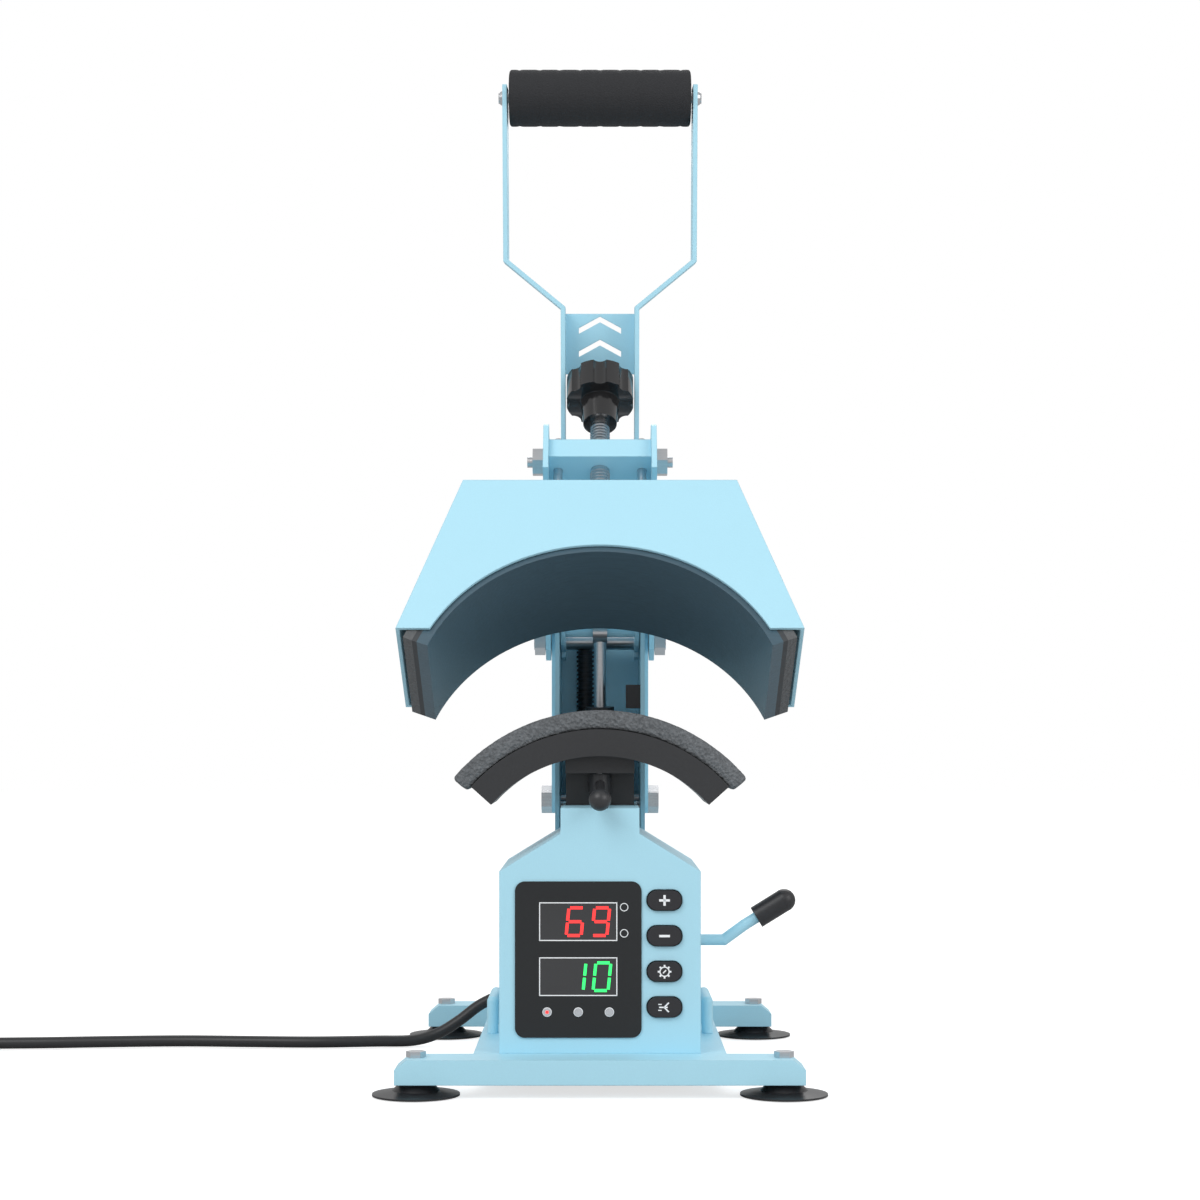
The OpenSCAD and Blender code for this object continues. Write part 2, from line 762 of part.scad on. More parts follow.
// Mains lead
module cord_gland() {
    color(dark) translate([gland_x, box_back, gland_z]) rotate([-90, 0, 0]) difference() {
        cylinder(r1 = gland_r, r2 = cord_r + slack, h = gland_l - run_gap);
        translate([0, 0, -cut]) cylinder(r = cord_r - slack, h = gland_l / 4);
    }
}
function unit(v) = v / norm(v);
function heading(p, i) = unit(p[min(i + 1, len(p) - 1)] - p[max(i - 1, 0)]);
function side_of(t) = unit(cross(t, abs(t[2]) > 0.9 ? [1, 0, 0] : [0, 0, 1]));
function ring(p, i, r, n) = let (t = heading(p, i), a = side_of(t), b = cross(t, a))
    [for (k = [0:n - 1]) p[i] + r * (cos(360 * k / n) * a + sin(360 * k / n) * b)];
module tube(p, r, n) {
    m = len(p);
    points = [for (i = [0:m - 1]) each ring(p, i, r, n)];
    walls = [for (i = [0:m - 2], k = [0:n - 1]) each
        let (a = i * n + k, b = i * n + (k + 1) % n) [[a, b, b + n], [a, b + n, a + n]]];
    polyhedron(points, concat([[for (k = [n - 1:-1:0]) k]], walls,
                              [[for (k = [0:n - 1]) (m - 1) * n + k]]));
}
function climb(t) = let (u = (t - coil_half_turns) / climb_turns + 0.5)
    u < 0 ? 0 : u > 1 ? 1 : u * u * (3 - 2 * u);
function coil_point(t) = let (r = coil_in_r + coil_pitch * abs(coil_half_turns - t), a = -90 - 360 * t)
    [coil_x + r * cos(a), coil_y + r * sin(a), floor_z + coil_pitch * climb(t)];
coil_route = [for (i = [0:2 * coil_half_turns * coil_rings]) coil_point(i / coil_rings)];
coil_gap = min([for (i = [0:len(coil_route) - 1], j = [0:len(coil_route) - 1])
    if (j - i > coil_rings / 2) norm(coil_route[i] - coil_route[j])]) - 2 * cord_r;
module cord_run() { color(dark) tube(cord_route, cord_r, cord_sides); }
module cord_coil() {
    echo(coil_gap = coil_gap);
    color(dark) tube(concat(coil_route, tail_route), cord_r, coil_sides);
}
module plug() {
    end = tail_route[len(tail_route) - 1];
    color(dark) {
        translate(end) rotate([0, -90, 0]) {
            cylinder(r1 = cord_r + slack, r2 = plug_z - slack, h = plug_l / 2);
            translate([0, 0, plug_l / 2]) cylinder(r = plug_z - slack, h = plug_l / 2);
            for (s = [-1, 1]) translate([0, s * plug_z / 2, plug_l]) cylinder(r = cord_r / 2, h = plug_l / 2);
        }
    }
}

front_bar();
rear_bar();
left_rail();
right_rail();
base_plate();
suction_feet();
foot_bolts();
side_staples();
control_housing();
rear_cover();
display_panel();
display_windows();
status_lamps();
circuit_board();
relay_block();
plus_button();
minus_button();
settings_button();
start_button();
power_switch_frame();
power_rocker();
fuse_holder();
column();
stay_plates();
main_pivot_pin();
pivot_nuts();
stay_bolts();
limit_switch();
conduit();
strut_foot_pin();
strut_cylinder();
strut_rod();
form_post();
lower_form();
foam_pad();
lock_pin();
lock_lever();
lever_bush();
pull_lever();
lever_sleeve();
left_arm_plate();
right_arm_plate();
bridge();
bridge_bolts();
drive_pin();
head_cover();
heated_platen();
heater_mat();
insulation();
head_block();
guide_pins();
pressure_screw();
pressure_knob();
handle_frame();
grip_tube();
foam_grip();
cord_gland();
cord_run();
cord_coil();
plug();
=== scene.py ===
"""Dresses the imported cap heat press: finishes, foam, display, icons, lead, lights and camera.

Boxes from the frame and the studio's values are in metres. The lead, the marks and the small hardware
are written in millimetres, and MM turns them into metres.
"""

from __future__ import annotations

import json
import logging
import math
from collections.abc import Callable
from dataclasses import dataclass, replace
from enum import Enum
from typing import ClassVar

import bmesh
import bpy
from mathutils import Matrix, Vector, noise

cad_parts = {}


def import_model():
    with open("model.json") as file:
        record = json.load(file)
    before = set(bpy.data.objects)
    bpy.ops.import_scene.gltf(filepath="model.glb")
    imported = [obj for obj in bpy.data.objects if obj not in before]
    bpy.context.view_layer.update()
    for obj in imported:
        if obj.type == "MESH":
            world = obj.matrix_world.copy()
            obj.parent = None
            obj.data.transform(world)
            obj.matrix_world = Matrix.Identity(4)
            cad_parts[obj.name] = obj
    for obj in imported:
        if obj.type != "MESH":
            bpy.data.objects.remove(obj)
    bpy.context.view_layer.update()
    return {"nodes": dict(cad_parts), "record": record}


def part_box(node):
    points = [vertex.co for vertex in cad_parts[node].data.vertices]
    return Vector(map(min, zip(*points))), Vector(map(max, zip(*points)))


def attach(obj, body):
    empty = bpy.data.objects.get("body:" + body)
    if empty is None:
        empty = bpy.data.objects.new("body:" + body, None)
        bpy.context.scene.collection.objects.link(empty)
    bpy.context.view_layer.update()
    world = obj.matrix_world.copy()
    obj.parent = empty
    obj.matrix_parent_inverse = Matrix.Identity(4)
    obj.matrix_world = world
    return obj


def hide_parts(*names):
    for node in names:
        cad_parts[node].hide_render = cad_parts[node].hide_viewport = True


LOG = logging.getLogger("cap_heat_press")
MM = 0.001
PHOTO_SIZE = 1200
WELD_DISTANCE = 1e-7
WHITE = (1.0, 1.0, 1.0, 1.0)

Triple = tuple[float, float, float]


class Surface(Enum):
    """Kinds of small-scale relief that a finish can carry."""

    BRUSHED = "brushed"
    SMOOTH = "smooth"
    FOAM = "foam"


class Socket:
    """A shader socket that takes part in Python arithmetic."""

    def __init__(self, tree: bpy.types.NodeTree, output: bpy.types.NodeSocket) -> None:
        """Keeps the node tree and the output socket."""
        self.tree = tree
        self.output = output

    def _math(self, operation: str, first: object, second: object) -> Socket:
        """Adds one Math node.

        Args:
            operation: the Math node's operation.
            first: a Socket or a number.
            second: a Socket or a number.

        Returns:
            The node's value as a Socket.
        """
        node = self.tree.nodes.new("ShaderNodeMath")
        node.operation = operation
        for index, value in enumerate((first, second)):
            if isinstance(value, Socket):
                self.tree.links.new(value.output, node.inputs[index])
            else:
                node.inputs[index].default_value = value
        return Socket(self.tree, node.outputs[0])

    def __add__(self, other: object) -> Socket:
        """Sum."""
        return self._math("ADD", self, other)

    def __radd__(self, other: object) -> Socket:
        """Sum with a number first."""
        return self._math("ADD", other, self)

    def __sub__(self, other: object) -> Socket:
        """Difference."""
        return self._math("SUBTRACT", self, other)

    def __rsub__(self, other: object) -> Socket:
        """Difference from a number."""
        return self._math("SUBTRACT", other, self)

    def __mul__(self, other: object) -> Socket:
        """Product."""
        return self._math("MULTIPLY", self, other)

    def __rmul__(self, other: object) -> Socket:
        """Product with a number first."""
        return self._math("MULTIPLY", other, self)


class Shader:
    """Builds one material's nodes."""

    def __init__(self, name: str) -> None:
        """Starts a material with its principled shader."""
        self.material = bpy.data.materials.new(name)
        self.material.use_nodes = True
        self.tree = self.material.node_tree
        self.principled = self.tree.nodes["Principled BSDF"]

    def node(self, kind: str, settings: dict[str, object], **sockets: object) -> bpy.types.Node:
        """Adds a node.

        Args:
            kind: the node's type.
            settings: its own properties, set first.
            sockets: values or Sockets for its inputs, by name with _ for a space.

        Returns:
            The node.
        """
        node = self.tree.nodes.new(kind)
        for key, value in settings.items():
            setattr(node, key, value)
        for key, value in sockets.items():
            socket = node.inputs[key.replace("_", " ")]
            if isinstance(value, Socket):
                self.tree.links.new(value.output, socket)
            else:
                socket.default_value = value
        return node

    def out(self, node: bpy.types.Node, name: str) -> Socket:
        """Wraps the named output of a node."""
        return Socket(self.tree, node.outputs[name])

    def feed(self, name: str, value: object) -> None:
        """Sets or links one input of the principled shader."""
        socket = self.principled.inputs[name]
        if isinstance(value, Socket):
            self.tree.links.new(value.output, socket)
        else:
            socket.default_value = value

    def place(self, stretch: Triple) -> Socket:
        """Adds object coordinates, scaled by stretch."""
        coords = self.out(self.node("ShaderNodeTexCoord", {}), "Object")
        mapping = self.node("ShaderNodeMapping", {}, Vector=coords, Scale=stretch)
        return self.out(mapping, "Vector")


@dataclass(frozen=True)
class Finish:
    """One finish of the press, from its colour to its grain.

    Attributes:
        name: the record's slot that it dresses.
        colour: its mean colour.
        roughness: its mean roughness.
        surface: its kind of relief.
        metallic: how metallic it is.
        coat: the weight of its clear coat.
        grain: the scale of its fine grain.
        depth: the strength of its relief.
        shade: how far its colour strays, as a share of itself.
        edge: the radius of its shaded edges, in metres.
    """

    name: str
    colour: Triple
    roughness: float
    surface: Surface = Surface.SMOOTH
    metallic: float = 0.0
    coat: float = 0.0
    grain: float = 900.0
    depth: float = 0.04
    shade: float = 0.08
    edge: float = 0.0

    brush_stretch: ClassVar[float] = 0.04
    grain_detail: ClassVar[float] = 3.0
    wear_scale: ClassVar[float] = 14.0
    wear_detail: ClassVar[float] = 4.0
    speck_share: ClassVar[float] = 0.6
    wear_share: ClassVar[float] = 0.4
    ramp_ends: ClassVar[tuple[float, float]] = (0.3, 0.7)
    roughness_swing: ClassVar[float] = 0.12
    foam_speck: ClassVar[float] = 0.5
    relief: ClassVar[float] = 0.001
    edge_samples: ClassVar[int] = 4

    def build(self) -> bpy.types.Material:
        """Makes the material.

        Returns:
            The material with its grain, colour change and roughness.
        """
        shader = Shader(self.name)
        along = self.brush_stretch if self.surface is Surface.BRUSHED else 1.0
        where = shader.place((along, 1.0, 1.0))
        fine = shader.node("ShaderNodeTexNoise", {}, Vector=where, Scale=self.grain,
                           Detail=self.grain_detail)
        broad = shader.node("ShaderNodeTexNoise", {}, Vector=where, Scale=self.wear_scale,
                            Detail=self.wear_detail)
        speck = shader.out(fine, "Fac")
        wear = shader.out(broad, "Fac")
        shader.feed("Base Color", self._tone(shader, speck * self.speck_share + wear * self.wear_share))
        shader.feed("Roughness", self.roughness + (wear - 0.5) * self.roughness_swing)
        shader.feed("Metallic", self.metallic)
        shader.feed("Coat Weight", self.coat)
        height = speck
        if self.surface is Surface.FOAM:
            cells = shader.node("ShaderNodeTexVoronoi", {}, Vector=where, Scale=self.grain)
            height = shader.out(cells, "Distance") + speck * self.foam_speck
        bump = shader.node("ShaderNodeBump", {}, Height=height, Strength=self.depth,
                           Distance=self.relief)
        if self.edge:
            rounded = shader.node("ShaderNodeBevel", {"samples": self.edge_samples}, Radius=self.edge)
            shader.tree.links.new(rounded.outputs["Normal"], bump.inputs["Normal"])
        shader.feed("Normal", shader.out(bump, "Normal"))
        return shader.material

    def _tone(self, shader: Shader, mask: Socket) -> Socket:
        """Runs the colour from a darker to a lighter tone over a mask.

        Args:
            shader: the material's shader.
            mask: how light the tone is at each point.

        Returns:
            The colour.
        """
        ramp = shader.node("ShaderNodeValToRGB", {}, Fac=mask)
        tones = (1.0 - self.shade, 1.0 + self.shade)
        for stop, position, tone in zip(ramp.color_ramp.elements, self.ramp_ends, tones):
            stop.position = position
            stop.color = (*(min(1.0, channel * tone) for channel in self.colour), 1.0)
        return shader.out(ramp, "Color")


@dataclass(frozen=True)
class Glow:
    """A lit or printed mark on the panel; the glow of a printed mark is painted light.

    Attributes:
        name: the material's name.
        colour: the mark's colour.
        strength: how brightly it shines by itself; on printed marks this glow is painted light.
    """

    name: str
    colour: Triple
    strength: float

    grain: ClassVar[float] = 600.0
    roughness: ClassVar[float] = 0.4
    roughness_swing: ClassVar[float] = 0.1

    def build(self) -> bpy.types.Material:
        """Makes the material of the mark."""
        shader = Shader(self.name)
        where = shader.place((1.0, 1.0, 1.0))
        grain = shader.node("ShaderNodeTexNoise", {}, Vector=where, Scale=self.grain)
        swing = shader.out(grain, "Fac") * self.roughness_swing
        shader.feed("Base Color", (*self.colour, 1.0))
        shader.feed("Roughness", self.roughness + swing)
        shader.feed("Emission Color", (*self.colour, 1.0))
        shader.feed("Emission Strength", self.strength)
        return shader.material


FINISHES = (
    Finish("blue_paint", (0.43, 0.75, 0.89), 0.42, edge=0.0007, grain=1500.0, depth=0.05, shade=0.02),
    Finish("rubber", (0.018, 0.018, 0.02), 0.35, depth=0.03),
    Finish("steel", (0.60, 0.61, 0.63), 0.28, Surface.BRUSHED, metallic=1.0, depth=0.05),
    Finish("panel_gloss", (0.008, 0.010, 0.012), 0.35, coat=0.1, depth=0.01),
    Finish("window_tint", (0.02, 0.021, 0.024), 0.12, coat=0.8, depth=0.0),
    Finish("lamp_lens", (0.5, 0.5, 0.52), 0.25, depth=0.0),
    Finish("board_green", (0.03, 0.2, 0.08), 0.4),
    Finish("black_plastic", (0.02, 0.02, 0.023), 0.45, edge=0.0004),
    Finish("button_black", (0.02, 0.02, 0.024), 0.4, edge=0.0005),
    Finish("black_metal", (0.028, 0.029, 0.032), 0.38, edge=0.0004),
    Finish("pad_foam", (0.14, 0.15, 0.16), 0.9, Surface.FOAM, grain=620.0, depth=0.9, shade=0.45),
    Finish("grip_foam", (0.017, 0.018, 0.021), 0.8, Surface.FOAM, grain=1300.0, depth=0.35, shade=0.2),
    Finish("platen_coat", (0.055, 0.105, 0.14), 0.36, Surface.BRUSHED, coat=0.1, depth=0.08,
           shade=0.12),
    Finish("heater_rubber", (0.05, 0.055, 0.06), 0.7),
    Finish("wool", (0.12, 0.125, 0.13), 0.9, Surface.FOAM, grain=500.0, depth=0.5),
    Finish("knob_gloss", (0.012, 0.012, 0.013), 0.16, coat=0.5, edge=0.0006, depth=0.01),
    Finish("cord_jacket", (0.02, 0.02, 0.022), 0.42, depth=0.03),
)


def finish_mesh(name: str, shape: bmesh.types.BMesh, body: str, material: bpy.types.Material) -> bpy.types.Object:
    """Turns a bmesh into a piece of the press.

    Args:
        name: the piece's name.
        shape: its bmesh, in metres, which is freed.
        body: the body that it rides on.
        material: its material.

    Returns:
        The new object.
    """
    bmesh.ops.remove_doubles(shape, verts=shape.verts, dist=WELD_DISTANCE)
    bmesh.ops.recalc_face_normals(shape, faces=shape.faces)
    mesh = bpy.data.meshes.new(name)
    shape.to_mesh(mesh)
    shape.free()
    mesh.materials.append(material)
    piece = bpy.data.objects.new(name, mesh)
    bpy.context.scene.collection.objects.link(piece)
    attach(piece, body)
    LOG.info("made %s on %s", name, body)
    return piece


@dataclass(frozen=True)
class Lamp:
    """One soft area lamp.

    Attributes:
        name: its name.
        place: where it hangs.
        size: the side of its square.
        power: its power in watts.
    """

    name: str
    place: Triple
    size: float
    power: float

    def build(self, target: Vector) -> None:
        """Adds the lamp.

        Args:
            target: the point that it shines at.
        """
        data = bpy.data.lights.new(self.name, "AREA")
        data.size = self.size
        data.energy = self.power
        lamp = bpy.data.objects.new(self.name, data)
        lamp.location = self.place
        aim = target - Vector(self.place)
        lamp.rotation_euler = aim.to_track_quat("-Z", "Y").to_euler()
        bpy.context.scene.collection.objects.link(lamp)


@dataclass
class Studio:
    """The floor, the lights and the camera.

    Attributes:
        eye: where the camera stands.
        frame_width: the width that the picture spans at the press.
        eye_distance: how far the press's front is from the eye.
        horizon_row: the picture's row at the eye's height.
        lamp_target: the point that the lamps shine at.
        lamps: the lamps.
        world_light: how brightly the world lights the press.
        world_seen: how bright the world looks to the camera.
        floor_half: half the floor's width.
        floor_drop: how far the floor lies under the feet.
        floor_grey: the floor's grey.
        floor_roughness: the floor's roughness.
        floor_seen: the brightness that the floor gains for the camera.
    """

    eye: Triple = (0.0, -1.265, 0.180)
    frame_width: float = 0.600
    eye_distance: float = 1.150
    horizon_row: int = 735
    lamp_target: Triple = (0.0, 0.0, 0.25)
    lamps: tuple[Lamp, ...] = (
        Lamp("key", (-0.9, -1.3, 1.5), 1.1, 15.0),
        Lamp("fill", (1.2, -1.0, 0.9), 1.0, 8.0),
        Lamp("back", (0.2, 1.3, 1.3), 1.0, 7.0))
    world_light: float = 0.62
    world_seen: float = 1.0
    floor_half: float = 6.0
    floor_drop: float = 0.0005
    floor_grey: float = 0.55
    floor_roughness: float = 0.9
    floor_seen: float = 0.7

    def build(self) -> None:
        """Makes the camera, the lights and the floor."""
        self._camera()
        for lamp in self.lamps:
            lamp.build(Vector(self.lamp_target))
        self._world()
        self._floor()

    def _camera(self) -> None:
        """Places the camera at the photograph's angle."""
        data = bpy.data.cameras.new("camera")
        data.lens = data.sensor_width * self.eye_distance / self.frame_width
        data.shift_y = (self.horizon_row - PHOTO_SIZE / 2) / PHOTO_SIZE
        camera = bpy.data.objects.new("camera", data)
        camera.location = self.eye
        camera.rotation_euler = (math.pi / 2, 0.0, 0.0)
        bpy.context.scene.collection.objects.link(camera)
        bpy.context.scene.camera = camera
        bpy.context.scene.view_settings.view_transform = "Standard"

    def _world(self) -> None:
        """Makes a soft world that the camera sees as white, also through clear pieces."""
        world = bpy.data.worlds.new("studio_world")
        world.use_nodes = True
        bpy.context.scene.world = world
        tree = world.node_tree
        path = tree.nodes.new("ShaderNodeLightPath")
        seen = tree.nodes.new("ShaderNodeMath")
        seen.operation = "MAXIMUM"
        tree.links.new(path.outputs["Is Camera Ray"], seen.inputs[0])
        tree.links.new(path.outputs["Is Transmission Ray"], seen.inputs[1])
        strength = tree.nodes.new("ShaderNodeMapRange")
        tree.links.new(seen.outputs[0], strength.inputs["Value"])
        strength.inputs["To Min"].default_value = self.world_light
        strength.inputs["To Max"].default_value = self.world_seen
        background = tree.nodes["Background"]
        background.inputs["Color"].default_value = WHITE
        tree.links.new(strength.outputs["Result"], background.inputs["Strength"])

    def _floor(self) -> None:
        """Makes the pale floor, which keeps the shadow and brightens for the camera alone."""
        shape = bmesh.new()
        bmesh.ops.create_grid(shape, x_segments=1, y_segments=1, size=self.floor_half)
        mesh = bpy.data.meshes.new("floor")
        shape.to_mesh(mesh)
        shape.free()
        shader = Shader("floor_paper")
        path = shader.node("ShaderNodeLightPath", {})
        shader.feed("Base Color", (self.floor_grey, self.floor_grey, self.floor_grey, 1.0))
        shader.feed("Roughness", self.floor_roughness)
        shader.feed("Emission Color", WHITE)
        shader.feed("Emission Strength", shader.out(path, "Is Camera Ray") * self.floor_seen)
        mesh.materials.append(shader.material)
        floor = bpy.data.objects.new("floor", mesh)
        floor.location.z = -self.floor_drop
        bpy.context.scene.collection.objects.link(floor)


def between(before: Vector, here: Vector, there: Vector, after: Vector, share: float) -> Vector:
    """Finds a point of a Catmull-Rom curve.

    Args:
        before: the point before the stretch.
        here: the stretch's first point.
        there: the stretch's last point.
        after: the point after the stretch.
        share: how far along the stretch the point lies, from 0 to 1.

    Returns:
        The point.
    """
    straight = 2 * here + (there - before) * share
    bend = (2 * before - 5 * here + 4 * there - after) * share ** 2
    twist = (3 * here - before - 3 * there + after) * share ** 3
    return (straight + bend + twist) / 2


@dataclass
class MainsLead:
    """The lead from the back of the box to its plug, in millimetres.

    Attributes:
        radius: the jacket's radius.
        table_z: the centre line's height on the table.
        route: the centre line from the gland to the coil.
        tail: the centre line from the coil to the plug.
        centre: the coil's middle, seen from above.
        pitch: the step between two turns.
        inner: the radius where the spiral turns back.
        half_turns: the turns in each layer.
        climb_turns: the turns that the climb to the next layer takes.
        coil_steps: the points on a turn.
        route_steps: the points on a stretch of the route.
        bevel_steps: how finely the jacket is rounded.
    """

    radius: float = 3.25
    table_z: float = 3.4
    route: tuple[Triple, ...] = (
        (-38, 37, 40), (-38, 46, 40), (-40, 56, 38), (-47, 65, 34), (-58, 70, 29),
        (-70, 72, 23), (-82, 71, 14), (-94, 69, 7), (-108, 66, 3.4), (-130, 62, 3.4),
        (-165, 58, 3.4), (-200, 60, 3.4), (-240, 63, 3.4), (-280, 60, 3.4),
        (-320, 55, 3.4), (-360, 52.5, 3.4), (-400, 52.2, 3.4), (-430, 52.2, 3.4))
    tail: tuple[Triple, ...] = (
        (-450, 52.2, 10.3), (-470, 52.2, 9.6), (-490, 52.2, 9.1), (-505, 52.2, 9))
    centre: tuple[float, float] = (-430, 100)
    pitch: float = 7.1
    inner: float = 26.5
    half_turns: int = 3
    climb_turns: float = 0.5
    coil_steps: int = 48
    route_steps: int = 6
    bevel_steps: int = 4

    def _coil_point(self, turn: float) -> Vector:
        """Finds the point of the coil after so many turns."""
        climb = min(1.0, max(0.0, (turn - self.half_turns) / self.climb_turns + 0.5))
        reach = self.inner + self.pitch * abs(self.half_turns - turn)
        angle = math.radians(-90 - 360 * turn)
        return Vector((self.centre[0] + reach * math.cos(angle),
                       self.centre[1] + reach * math.sin(angle),
                       self.table_z + self.pitch * climb ** 2 * (3 - 2 * climb)))

    def _points(self) -> list[Vector]:
        """Works out the whole centre line, in metres."""
        line: list[Vector] = []
        route = [Vector(point) for point in self.route]
        padded = [route[0], *route, route[-1]]
        for four in zip(padded, padded[1:], padded[2:], padded[3:]):
            line += [between(*four, step / self.route_steps) for step in range(self.route_steps)]
        count = 2 * self.half_turns * self.coil_steps
        line += [self._coil_point(step / self.coil_steps) for step in range(count + 1)]
        line += [Vector(point) for point in self.tail]
        return [point * MM for point in line]

    def build(self, material: bpy.types.Material) -> None:
        """Args:
            material: the jacket's material.
        """
        points = self._points()
        data = bpy.data.curves.new("mains_lead", "CURVE")
        data.dimensions = "3D"
        data.bevel_depth = self.radius * MM
        data.bevel_resolution = self.bevel_steps
        data.use_fill_caps = True
        line = data.splines.new("POLY")
        line.points.add(len(points) - 1)
        for slot, point in zip(line.points, points):
            slot.co = (*point, 1.0)
        data.materials.append(material)
        lead = bpy.data.objects.new("mains_lead", data)
        bpy.context.scene.collection.objects.link(lead)
        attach(lead, "frame")
        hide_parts("cord_run", "cord_coil")
        length = sum((b - a).length for a, b in zip(points, points[1:]))
        LOG.info("lead is %.3f m long", length)


@dataclass
class FoamParts:
    """The pad on the lower form and the sleeve on the grip, in metres.

    Attributes:
        pad_voxel: the size of the cells that the pad is rebuilt from.
        grip_voxel: the size of the cells that the sleeve is rebuilt from.
        soften_factor: how far each pass rounds the edges.
        soften_passes: the number of passes.
        pore_scale: how closely the pad's pores lie.
        pore_depth: how deep they are.
        rib_pitch: the step between the sleeve's grooves.
        rib_depth: how deep the grooves are.
        rib_sharpness: how narrow the grooves are.
        fill: how tight the foam is; not used.
    """

    pad_voxel: float = 0.0016
    grip_voxel: float = 0.0013
    soften_factor: float = 0.5
    soften_passes: int = 3
    pore_scale: float = 420.0
    pore_depth: float = 0.0005
    rib_pitch: float = 0.0112
    rib_depth: float = 0.0004
    rib_sharpness: int = 6
    fill: float = 0.9

    def _soften(self, node: str, name: str, body: str, voxel: float,
                material: bpy.types.Material) -> bpy.types.Object:
        """Copies a node and gives it soft, rounded foam edges.

        Args:
            node: the node that the piece stands for.
            name: the new piece's name.
            body: the body that it rides on.
            voxel: the size of the cells that it is rebuilt from.
            material: its material.

        Returns:
            The foam piece, with its modifiers applied.
        """
        shape = bmesh.new()
        shape.from_mesh(bpy.data.objects[node].data)
        piece = finish_mesh(name, shape, body, material)
        remesh = piece.modifiers.new("cells", "REMESH")
        remesh.mode = "VOXEL"
        remesh.voxel_size = voxel
        smooth = piece.modifiers.new("soften", "SMOOTH")
        smooth.factor = self.soften_factor
        smooth.iterations = self.soften_passes
        graph = bpy.context.evaluated_depsgraph_get()
        made = bpy.data.meshes.new_from_object(piece.evaluated_get(graph))
        piece.modifiers.clear()
        piece.data = made
        made.materials.clear()
        made.materials.append(material)
        for face in made.polygons:
            face.use_smooth = True
        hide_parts(node)
        return piece

    def build(self, pad: bpy.types.Material, grip: bpy.types.Material) -> None:
        """Makes both foam pieces.

        Args:
            pad: the pad's material.
            grip: the sleeve's material.
        """
        cushion = self._soften("foam_pad", "form_pad", "frame", self.pad_voxel, pad)
        for vertex in cushion.data.vertices:
            pore = abs(noise.noise(vertex.co * self.pore_scale))
            vertex.co -= vertex.normal * pore * self.pore_depth
        sleeve = self._soften("foam_grip", "grip_sleeve", "handle", self.grip_voxel, grip)
        for vertex in sleeve.data.vertices:
            wave = math.cos(2 * math.pi * vertex.co.x / self.rib_pitch)
            groove = max(0.0, wave) ** self.rib_sharpness
            vertex.co -= vertex.normal * groove * self.rib_depth


@dataclass(frozen=True)
class Bar:
    """A thin bar of a mark, placed from the mark's middle, in millimetres.

    Attributes:
        x: its middle across.
        z: its middle up.
        width: its size across.
        height: its size up.
        lean: its turn in the plane, in radians.
    """

    x: float
    z: float
    width: float
    height: float
    lean: float = 0.0


def ring_bars(radius: float, line: float, sides: int = 24, overlap: float = 1.15) -> list[Bar]:
    """Lays out a ring of short bars.

    Args:
        radius: the ring's radius.
        line: the bars' thickness.
        sides: the number of bars.
        overlap: each bar's length as a share of its side.

    Returns:
        The bars.
    """
    length = 2 * math.pi * radius / sides * overlap
    angles = [2 * math.pi * side / sides for side in range(sides)]
    return [Bar(radius * math.cos(angle), radius * math.sin(angle), line, length, -angle)
            for angle in angles]


def outline_bars(width: float, height: float, line: float = 0.5) -> list[Bar]:
    """Lays out a thin rectangle.

    Args:
        width: its width.
        height: its height.
        line: its line's thickness.

    Returns:
        The four bars.
    """
    bars: list[Bar] = []
    for side in (-1, 1):
        bars.append(Bar(0.0, side * height / 2, width + line, line))
        bars.append(Bar(side * width / 2, 0.0, line, height))
    return bars


def minus_bars(line: float = 1.2, length: float = 5.4) -> list[Bar]:
    """Lays out a minus sign, with its line's thickness and length."""
    return [Bar(0.0, 0.0, length, line)]


def plus_bars(line: float = 1.2, length: float = 5.4) -> list[Bar]:
    """Lays out a plus sign, with its lines' thickness and length."""
    return [*minus_bars(line, length), Bar(0.0, 0.0, line, length)]


def gear_bars(radius: float = 2.3, line: float = 0.6, teeth: int = 8, tooth: float = 0.9,
              reach: float = 3.0, hand: float = 2.2) -> list[Bar]:
    """Lays out a plain gear with a slanted hand in it.

    Args:
        radius: the rim's radius.
        line: the thickness of the rim and the hand.
        teeth: the number of teeth.
        tooth: a tooth's size.
        reach: how far out the teeth lie.
        hand: the hand's length.

    Returns:
        The bars.
    """
    bars = ring_bars(radius, line)
    for index in range(teeth):
        angle = 2 * math.pi * index / teeth
        bars.append(Bar(reach * math.cos(angle), reach * math.sin(angle), tooth, tooth, -angle))
    bars.append(Bar(0.0, 0.0, line, hand, math.pi / 4))
    return bars


def start_bars() -> list[Bar]:
    """Lays out a plain start arrow with two lines trailing it."""
    barb = Bar(0.9, 1.1, 0.7, 3.6, math.pi / 4)
    shaft = Bar(-0.6, 0.0, 4.4, 0.7)
    trail = Bar(-2.3, 1.5, 1.8, 0.5)
    sides = (-1, 1)
    return [*(replace(barb, z=side * barb.z, lean=side * barb.lean) for side in sides), shaft,
            *(replace(trail, z=side * trail.z) for side in sides)]


